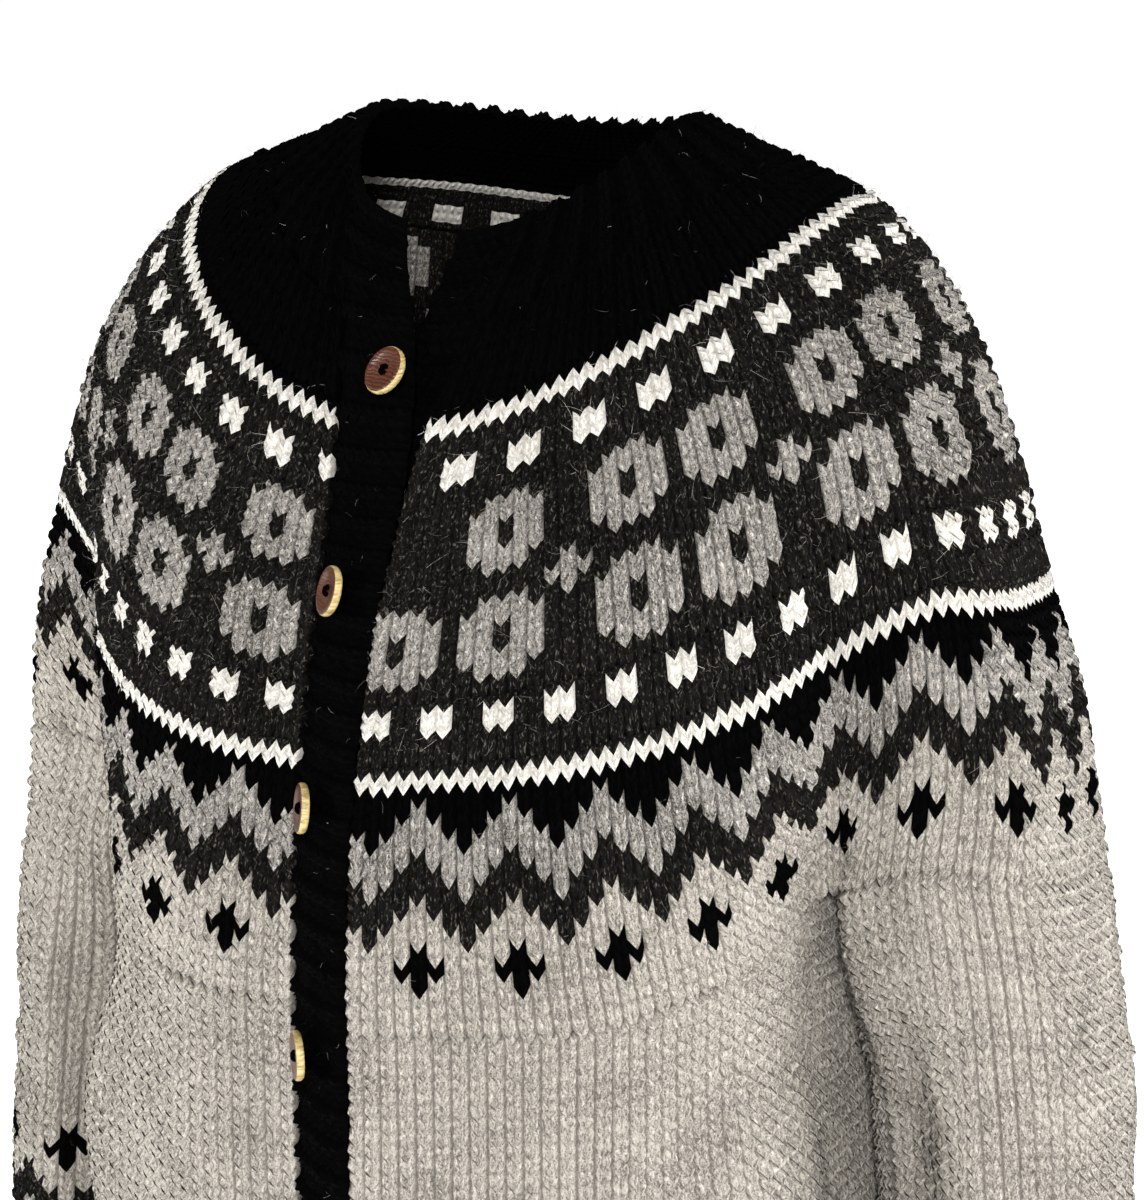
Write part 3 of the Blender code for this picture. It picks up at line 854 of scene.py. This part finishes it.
def hairs(name, shells, count, length, light_share):
    """Thin ribbons that leave the stitches and curl, each two quads and a tip.

    A hair starts at a random point of the cloth, leans out by a random share of the normal,
    and follows a part of a circle toward a random side: the sine of its turn so far ahead,
    and one less the cosine aside, both divided by the whole turn.
    """
    roots = []
    total = sum(shell["area"] for shell in shells)
    for shell in shells:
        some = int(count * shell["area"] / total)
        lines, columns = shell["points"].shape[:2]
        line = randoms.integers(1, lines - 1, some)
        column = randoms.integers(0, columns, some)
        side = (-1, 1, 1) if shell["mirror"] else (1, 1, 1)
        stitch = np.minimum(column // STEPS_ACROSS, shell["chart"].shape[1] - 1)
        yarn = shell["chart"][line // STEPS_DOWN, stitch]
        roots.append((shell["points"][line, column] * side, shell["normals"][line, column] * side, yarn))
    spot, way, yarn = map(np.concatenate, zip(*roots))
    some = len(spot)
    stray = randoms.random(some) < light_share
    yarn = np.where(stray, np.minimum(yarn + randoms.integers(1, 3, some), LIGHT), yarn)
    reach = length * (0.35 + randoms.exponential(0.5, some)).clip(0, 2.2)[:, None]
    first = unit(way * randoms.uniform(0.25, 1.0, (some, 1)) + 0.7 * randoms.normal(0, 1, (some, 3)))
    side = unit(np.cross(first, randoms.normal(0, 1, (some, 3))))
    width = unit(np.cross(first, side)) * HAIR_WIDTH / 2
    turn = randoms.uniform(0.4, 3.4, (some, 1))
    spine = []
    for share in np.linspace(0, 1, 4):
        ahead = np.sin(turn * share) / turn
        aside = (1 - np.cos(turn * share)) / turn
        spine.append(spot + reach * (first * ahead + side * aside))
    pairs = [(spine[n] - width * (1 - 0.2 * n), spine[n] + width * (1 - 0.2 * n)) for n in range(3)]
    points = np.stack([point for pair in pairs for point in pair] + [spine[3]], axis=1)
    index = np.arange(some)[:, None] * 7
    rings = [index + [0, 1, 3, 2], index + [2, 3, 5, 4], index + [4, 5, 6]]
    uv = np.repeat(randoms.uniform(0, 60, (some, 1, 2)), 7, axis=1).reshape(-1, 2)
    return mesh_of(name, points.reshape(-1, 3), rings, np.concatenate([yarn] * 3), uv, yarn_materials)


# Materials


class Value:
    """A shader socket in an expression: each operator adds its Math node."""

    def __init__(self, tree, socket):
        self.tree = tree
        self.socket = socket

    def math(self, operation, *others):
        node = self.tree.nodes.new("ShaderNodeMath")
        node.operation = operation
        for place, value in zip(node.inputs, (self, *others)):
            feed(self.tree, place, value)
        return Value(self.tree, node.outputs[0])

    def __add__(self, other):
        return self.math("ADD", other)

    def __rsub__(self, other):
        return self * -1 + other

    def __mul__(self, other):
        return self.math("MULTIPLY", other)

    def between(self, low, high):
        """0 below the low value, 1 above the high one, and smooth between."""
        sockets = {"Value": self, "From Min": low, "From Max": high}
        return node_of(self.tree, "MapRange", {"interpolation_type": "SMOOTHSTEP"}, sockets, "Result")

    __radd__ = __add__
    __rmul__ = __mul__


def feed_all(tree, node, sockets):
    for key, value in sockets.items():
        feed(tree, node.inputs[key], value)


def feed(tree, place, value):
    if isinstance(value, Value):
        tree.links.new(value.socket, place)
    else:
        place.default_value = value


def node_of(tree, kind, settings, sockets, output):
    """A node of one kind, its settings first and then the values or links of its sockets."""
    node = tree.nodes.new("ShaderNode" + kind)
    for key, value in settings.items():
        setattr(node, key, value)
    feed_all(tree, node, sockets)
    return Value(tree, node.outputs[output])


def mixed(tree, share, first, second):
    """One colour into another by a share, through a Mix node's colour sockets."""
    node = tree.nodes.new("ShaderNodeMix")
    node.data_type = "RGBA"
    feed(tree, node.inputs[0], share)
    feed(tree, node.inputs[6], first)
    feed(tree, node.inputs[7], second)
    return Value(tree, node.outputs[2])


def noise(tree, place, scale, detail=2.0, roughness=0.5):
    sockets = {"Vector": place, "Scale": scale, "Detail": detail, "Roughness": roughness}
    return node_of(tree, "TexNoise", {"noise_dimensions": "3D"}, sockets, "Fac")


def stretched(tree, place, scale):
    sockets = {"Vector": place, "Scale": scale}
    return node_of(tree, "Mapping", {"vector_type": "POINT"}, sockets, "Vector")


def finish(name, roughness):
    """A new material, its tree, its shader and its Object coordinates."""
    made = bpy.data.materials.new(name)
    made.use_nodes = True
    tree = made.node_tree
    shader = tree.nodes["Principled BSDF"]
    shader.inputs["Roughness"].default_value = roughness
    place = node_of(tree, "TexCoord", {}, {}, "Object")
    return made, tree, shader, place


def bumped(tree, shader, height, strength, distance):
    sockets = {"Strength": strength, "Distance": distance, "Height": height}
    feed(tree, shader.inputs["Normal"], node_of(tree, "Bump", {}, sockets, "Normal"))


def waves(tree, knitting, axis, half_turns):
    """Waves from 0 to 1 across the stitches or down the rows, 1 where one stitch or leg meets the next."""
    place = node_of(tree, "SeparateXYZ", {}, {"Vector": knitting}, axis)
    return (place * (half_turns * math.pi)).math("COSINE") * 0.5 + 0.5


def wool(name, deep, main, fleck, flecks, sheen):
    """Wool: fibres along the legs of the stitches, flecks of other hair, slow clouds of shade, and painted
    shade darkening the grooves between legs, stitches and rows.
    """
    made, tree, shader, place = finish(name, 0.92)
    knitting = node_of(tree, "UVMap", {"uv_map": "knitting"}, {}, "UV")
    fibre = noise(tree, stretched(tree, knitting, (9.0, 2.2, 1.0)), 1.0, 3.0, 0.6)
    fine = noise(tree, place, 1500.0, 2.0, 0.6)
    cloud = noise(tree, place, 38.0, 3.0, 0.55)
    speck = noise(tree, stretched(tree, knitting, (6.0, 1.6, 1.0)), 1.3, 2.0, 0.7)
    shade = (fibre * 0.45 + cloud * 0.15 + fine * 0.4).between(0.38, 0.6)
    deep, main, fleck = ((*colour, 1) for colour in (deep, main, fleck))
    colour = mixed(tree, shade, deep, main)
    light = speck.between(0.62 - flecks * 0.1, 0.72) * flecks
    colour = mixed(tree, light, colour, fleck)
    groove, column, passing = (waves(tree, knitting, *way) for way in (("X", 4), ("X", 2), ("Y", 2)))
    # Painted shade: the colour is darkened toward the darkest shade in the grooves between the legs and the
    # stitches, and where one row passes into the next
    shadow = groove * groove * (column * 0.4 + 0.25) + passing * 0.15
    feed(tree, shader.inputs["Base Color"], mixed(tree, shadow, colour, deep))
    leg = (1 - groove) * (1 - passing * 0.7)
    height = leg + fibre * 0.45 + fine * 0.15
    bumped(tree, shader, height, 0.85, 0.0013)
    feed_all(tree, shader, {"Sheen Weight": sheen, "Sheen Roughness": 0.6, "Specular IOR Level": 0.02})
    return made


def polished_wood():
    """Brown wood under a thin varnish: wavy growth rings on the face, and fine pores."""
    made, tree, shader, place = finish("brown_wood", 0.35)
    settings = {"wave_type": "BANDS", "bands_direction": "Z"}
    sockets = {"Vector": place, "Scale": 260.0, "Distortion": 6.0, "Detail": 3.0, "Detail Scale": 1.5}
    grain = node_of(tree, "TexWave", settings, sockets, "Fac")
    pore = noise(tree, place, 1800.0, 2.0)
    colour = mixed(tree, grain * 0.7 + pore * 0.3, (0.025, 0.006, 0.002, 1), (0.1, 0.027, 0.009, 1))
    feed(tree, shader.inputs["Base Color"], colour)
    bumped(tree, shader, grain, 0.3, 0.0003)
    feed_all(tree, shader, {"Coat Weight": 0.5, "Coat Roughness": 0.2})
    return made


def pale_wood():
    """The bare pale sapwood round a button's edge, with fine lines along it."""
    made, tree, shader, place = finish("pale_wood", 0.45)
    line = noise(tree, stretched(tree, place, (300.0, 300.0, 1500.0)), 1.0, 3.0)
    colour = mixed(tree, line.between(0.3, 0.7), (0.22, 0.15, 0.05, 1), (0.5, 0.4, 0.17, 1))
    feed(tree, shader.inputs["Base Color"], colour)
    return made


def paper():
    made, tree, shader, place = finish("studio_paper", 0.9)
    grain = noise(tree, place, 3.0)
    colour = mixed(tree, grain, (0.9, 0.9, 0.9, 1), (0.93, 0.93, 0.93, 1))
    feed(tree, shader.inputs["Base Color"], colour)
    feed_all(tree, shader, {"Emission Color": (1, 1, 1, 1), "Emission Strength": 0.95})
    return made


# Yarns: the darkest shade, which is also painted into the grooves between the stitches as shade, the main
# shade and the flecks in it, how many flecks, and the sheen
YARNS = [
    ("black_wool", (0.0001, 0.0001, 0.0001), (0.001, 0.001, 0.0012), (0.01, 0.009, 0.008), 0.12, 0.0),
    ("charcoal_wool", (0.0012, 0.001, 0.0009), (0.0095, 0.0083, 0.0073), (0.17, 0.155, 0.13), 0.65, 0.008),
    ("mid_grey_wool", (0.035, 0.032, 0.029), (0.37, 0.345, 0.31), (0.76, 0.72, 0.66), 0.75, 0.04),
    ("light_grey_wool", (0.10, 0.088, 0.075), (0.47, 0.435, 0.38), (0.74, 0.70, 0.64), 0.65, 0.04),
    ("white_wool", (0.36, 0.34, 0.30), (0.74, 0.71, 0.66), (0.88, 0.86, 0.82), 0.4, 0.04),
]
yarn_materials = [wool(*yarn) for yarn in YARNS]


# Pieces of the cardigan

shells = {}

# Loose hairs: which pieces they grow on, how many, how long in mm, and the share of lighter ones
HAIRS = [
    ("hairs_black", ["neckband", "yoke_neck", "lower_band_ribbing", "upper_band_ribbing"], 7000, 4.5, 0.06),
    ("hairs_upper", ["yoke_first_line", "yoke_flowers", "yoke_blocks"], 14000, 6.0, 0.25),
    ("hairs_body", ["yoke_peaks", "body_cloth"], 9000, 4.5, 0.1),
    ("hairs_arms", ["sleeve_cloth_left", "sleeve_cloth_right"], 5000, 4.5, 0.1),
]


def piece(name, node, slot, cloth, chart, **how):
    """One knitted piece, which stands for its solid and hides it. The slot is not used."""
    made, shell = knit(name, cloth, chart, **how)
    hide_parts(node)
    points = cloth[0]
    width = float(distance(points[len(points) // 2]) * MM)
    length = shell["area"] / width
    shells[name] = shell
    return made


def collar_and_yoke():
    rib = torso_cloth(yoke_point, COLLAR_ZONE)
    how = {"ribbed": True, "cast_off": (True, False), "inside": 2}
    piece("neckband", "collar", "black_wool", rib, plain(COLLAR_ZONE), **how)
    zones = [
        ("yoke_neck", "black_wool", NECK_ZONE, plain(NECK_ZONE)),
        ("yoke_first_line", "patterned_wool", FIRST_ZONE, first_chart()),
        ("yoke_flowers", "patterned_wool", FLOWER_ZONE, flower_chart()),
        ("yoke_blocks", "patterned_wool", BLOCK_ZONE, block_chart()),
        ("yoke_peaks", "patterned_wool", PEAK_ZONE, peaks(PEAK_ZONE[3], PEAK_FIRST)),
    ]
    for name, slot, zone, chart in zones:
        straight = (True, name != "yoke_peaks")
        piece(name, "yoke", slot, torso_cloth(yoke_point, zone), chart, straight=straight, inside=2)


def body():
    chart = bordered(*BODY_ZONE[2:4], PEAK_FIRST)
    cloth = torso_cloth(body_point, BODY_ZONE, above=torso_cloth(yoke_point, PEAK_ZONE)[0])
    piece("body_cloth", "body", "grey_wool", cloth, chart, straight=(False, True))
    rib = torso_cloth(body_point, HEM_ZONE)
    piece("hem_ribbing", "hem_rib", "black_wool", rib, plain(HEM_ZONE), ribbed=True, cast_off=(False, True))


def sleeves():
    """The left sleeve begins in step with the stitches of the yoke's lower edge; the right one mirrors it."""
    edge = yoke_point(evenly(yoke_point, YOKE_END, np.linspace(0, 1, RING_STEPS)), YOKE_END)
    on_torso = np.abs(edge[:, 0]) < SLEEVE["out"][0] - SLEEVE["half_width"][0] - 1
    before = np.argmin(on_torso)
    length = distance(edge[: before + 1])
    phase = -length / (distance(edge) / PEAK_ZONE[3]) % 1
    first_peak = PEAK_FIRST - round(length / STITCH_WIDTH)
    chart = bordered(SLEEVE_ROWS, SLEEVE_STITCHES, first_peak % PEAK_EVERY)
    lower_yoke = torso_cloth(yoke_point, PEAK_ZONE)[0]
    cloth = arm_cloth(0, 1, SLEEVE_ROWS, SLEEVE_STITCHES, -phase, above=lower_yoke)
    cuff = arm_cloth(1, 1.2, CUFF_ROWS, CUFF_STITCHES, 0)
    cuff_chart = np.full((CUFF_ROWS, CUFF_STITCHES), BLACK)
    for side, mirror in (("left", False), ("right", True)):
        how = {"closed": True, "straight": (False, True), "mirror": mirror}
        piece(f"sleeve_cloth_{side}", f"sleeve_{side}", "grey_wool", cloth, chart, **how)
        how = {"ribbed": True, "closed": True, "cast_off": (False, True), "mirror": mirror}
        piece(f"cuff_ribbing_{side}", f"cuff_{side}", "black_wool", cuff, cuff_chart, **how)


def front_bands():
    """Ribbed bands whose columns cross the front: the button band beneath, the buttonhole band over it."""
    under = np.array([0, BAND_TUCK + BAND_EDGE])
    over = np.linspace(0, 2 * BAND_EDGE, 9)
    low = band_cloth(lower_band, under, np.full(2, -LOWER_SINK), LOWER_BAND_ROWS)
    high = band_cloth(upper_band, over, UPPER_LIFT * rise(over, 0, BAND_EDGE - BAND_TUCK), UPPER_BAND_ROWS)
    bands = [
        ("lower_band_ribbing", "button_band", low, LOWER_BAND_ROWS, (True, False)),
        ("upper_band_ribbing", "buttonhole_band", high, UPPER_BAND_ROWS, (False, True)),
    ]
    for name, node, cloth, rows, cast_off in bands:
        chart = np.full((rows, BAND_STITCHES), BLACK)
        piece(name, node, "black_wool", cloth, chart, ribbed=True, cast_off=cast_off, flipped=True)


def fuzz():
    for name, wearing, count, length, light_share in HAIRS:
        hairs(name, [shells[piece_name] for piece_name in wearing], count, length, light_share)


# Buttons

# Outline of a button as radius and height in mm: domed back, thick pale edge, dished face
DISC = [(0, 0), (6, 0), (8.3, 0.3), (8.9, 1.0), (9.0, 1.9), (8.9, 2.6), (8.5, 3.1)]
DISH = [(8.5, 3.1), (7.9, 3.3), (7.1, 3.25), (6.3, 3.0), (5.2, 2.7), (3.6, 2.55), (1.8, 2.5), (0, 2.5)]
DISC_SIDES = 48

# How much farther a button leans and stands aside than its solid, in degrees and mm
BUTTON_LEAN = 13
BUTTON_ASIDE = 4.5

# Wool through a button in mm: three short bows over its face, in degrees round it, and a
# thicker shank down to the band
THREAD_RADIUS = 0.7
THREAD_TURNS = (35, 80, 125)
THREAD_TOP = 3.5
THREAD_DROP = 1.6
HOLE_REACH = 1.9
SHANK_RADIUS = 1.5
SHANK = [(0.5, 0.2, 0.6), (0.2, 0, -1.0), (0, 0.2, -2.4), (0.1, 0, -4.2)]


def turned(profile, sides, place):
    """A profile turned round its axis: each point becomes a ring, and one on the axis stays a point."""
    angle = np.linspace(0, 2 * np.pi, sides, endpoint=False)
    radius, z = np.array(profile, float).T[..., None]
    ring = np.stack(np.broadcast_arrays(radius * np.cos(angle), radius * np.sin(angle), z), axis=-1)
    points, faces = swept(ring, place)
    return points, faces[:, ::-1]


def swept(rings, place):
    """Points of a row of rings, set in place, and the faces round them."""
    axes, foot = place
    index = np.arange(rings[..., 0].size).reshape(rings.shape[:2])
    return rings.reshape(-1, 3) @ axes.T + foot, corners_of(wrapped(index))


def tube(path, radius, sides, place):
    """A round thread along a path, its rings square to the path, with its ends left inside the button."""
    path = np.array(path, float)
    way = unit(np.gradient(path, axis=0))
    side = unit(np.cross(way, (0.3, 0.2, 1.0)))
    up = np.cross(side, way)
    angle = np.linspace(0, 2 * np.pi, sides, endpoint=False)[None, :, None]
    ring = path[:, None] + radius * (np.cos(angle) * side[:, None] + np.sin(angle) * up[:, None])
    return swept(ring, place)


def button_place(row, tilt):
    """Axes and foot of a button in mm, square to the band where it sits and turned by its tilt."""
    up = Vector(front_point(0.0, row - 1) - front_point(0.0, row + 1)).normalized()
    across = Vector(front_point(1.0, row) - front_point(-1.0, row))
    axis = Matrix.Rotation(-math.radians(tilt), 3, up) @ across.cross(up).normalized()
    stand = UPPER_LIFT + RIB_HEIGHT + BUTTON_CLEARANCE + BUTTON_NECK
    foot = Vector(front_point(BUTTON_ASIDE, row)) + axis * stand
    return np.array(Matrix((up.cross(axis), up, axis)).transposed()), np.array(foot)


def button(name, row, tilt, wood, edge):
    """A turned wooden button: dished face, pale edge, and black wool sewn through its middle to the band."""
    place = button_place(row, tilt)
    parts = [(turned(DISC, DISC_SIDES, place), 1), (turned(DISH, DISC_SIDES, place), 0)]
    bow = np.linspace(-1, 1, 9)
    for turn in THREAD_TURNS:
        cos, sin = math.cos(math.radians(turn)), math.sin(math.radians(turn))
        reach = HOLE_REACH * bow
        path = np.stack([reach * cos, reach * sin, THREAD_TOP - THREAD_DROP * bow**4], axis=1)
        parts.append((tube(path, THREAD_RADIUS, 8, place), 2))
    parts.append((tube(SHANK, SHANK_RADIUS, 10, place), 2))
    points, rings, looks, start = [], [], [], 0
    for (part_points, faces), look in parts:
        points.append(part_points)
        rings.append(faces + start)
        looks.append(np.full(len(faces), look))
        start += len(part_points)
    points = np.concatenate(points)
    materials = [wood, edge, yarn_materials[BLACK]]
    made = mesh_of(name + "_turned", points, rings, np.concatenate(looks), points[:, :2], materials)
    made.data.validate()
    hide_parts(name)


# Studio

# Camera as found from the photograph: its aim in mm, the angle round from the front and
# above level, the distance, and the lens on a 36 mm frame
AIM = (17.6, 0.0, -168.7)
CAMERA_TURN = 27.3
CAMERA_ABOVE = 14.1
CAMERA_AWAY = 1100.0
CAMERA_LENS = 84.35

# Lamps: place and size in m, power in W. Then the floor's height and half size in m, and the
# world's light as the cardigan and as the camera sees it
LAMPS = [
    ("front", (1.0, -2.2, 0.9), 0.4, 68.0),
    ("left", (-1.5, -1.95, 0.5), 0.4, 36.0),
    ("side", (2.3, 0.3, 0.3), 0.8, 50.0),
    ("top", (-0.2, 0.9, 2.1), 1.4, 12.0),
]
FLOOR = -0.596
FLOOR_REACH = 9.0
SOFT_LIGHT = (0.12, 0.12, 0.123, 1)
WHITE_LIGHT = (1.05, 1.05, 1.05, 1)


def studio():
    turn = math.radians(CAMERA_TURN)
    above = math.radians(CAMERA_ABOVE)
    back = Vector((math.sin(turn) * math.cos(above), -math.cos(turn) * math.cos(above), math.sin(above)))
    camera = bpy.data.cameras.new("camera")
    camera.lens = CAMERA_LENS
    camera.sensor_width = 36.0
    camera.clip_end = 50.0
    seen = linked("camera", camera)
    seen.location = (Vector(AIM) + back * CAMERA_AWAY) * MM
    seen.rotation_euler = back.to_track_quat("Z", "Y").to_euler()
    bpy.context.scene.camera = seen
    for name, place, size, power in LAMPS:
        lamp(name, place, size, power)
    world = bpy.data.worlds.new("studio")
    bpy.context.scene.world = world
    world.use_nodes = True
    tree = world.node_tree
    seen_straight = node_of(tree, "LightPath", {}, {}, "Is Camera Ray")
    feed(tree, tree.nodes["Background"].inputs["Color"], mixed(tree, seen_straight, SOFT_LIGHT, WHITE_LIGHT))
    bpy.context.scene.view_settings.view_transform = "Standard"
    backdrop()


def lamp(name, place, size, power):
    light = bpy.data.lights.new(name, "AREA")
    light.size = size
    light.energy = power
    made = linked(name, light)
    made.location = place
    toward = Vector(AIM) * MM - Vector(place)
    made.rotation_euler = toward.to_track_quat("-Z", "Y").to_euler()


def backdrop():
    """A wide pale floor under the cardigan."""
    mesh = bpy.data.meshes.new("studio_floor")
    ways = [(-1, -1), (1, -1), (1, 1), (-1, 1)]
    corners = [(x * FLOOR_REACH, y * FLOOR_REACH, FLOOR) for x, y in ways]
    mesh.from_pydata(corners, [], [(0, 1, 2, 3)])
    mesh.materials.append(paper())
    linked("studio_floor", mesh)


collar_and_yoke()
body()
sleeves()
front_bands()
fuzz()
wood = polished_wood()
edge = pale_wood()
for number, (row, tilt) in enumerate(BUTTONS, start=1):
    button(f"button_{number}", row, tilt + BUTTON_LEAN, wood, edge)
studio()

bpy.context.view_layer.update()
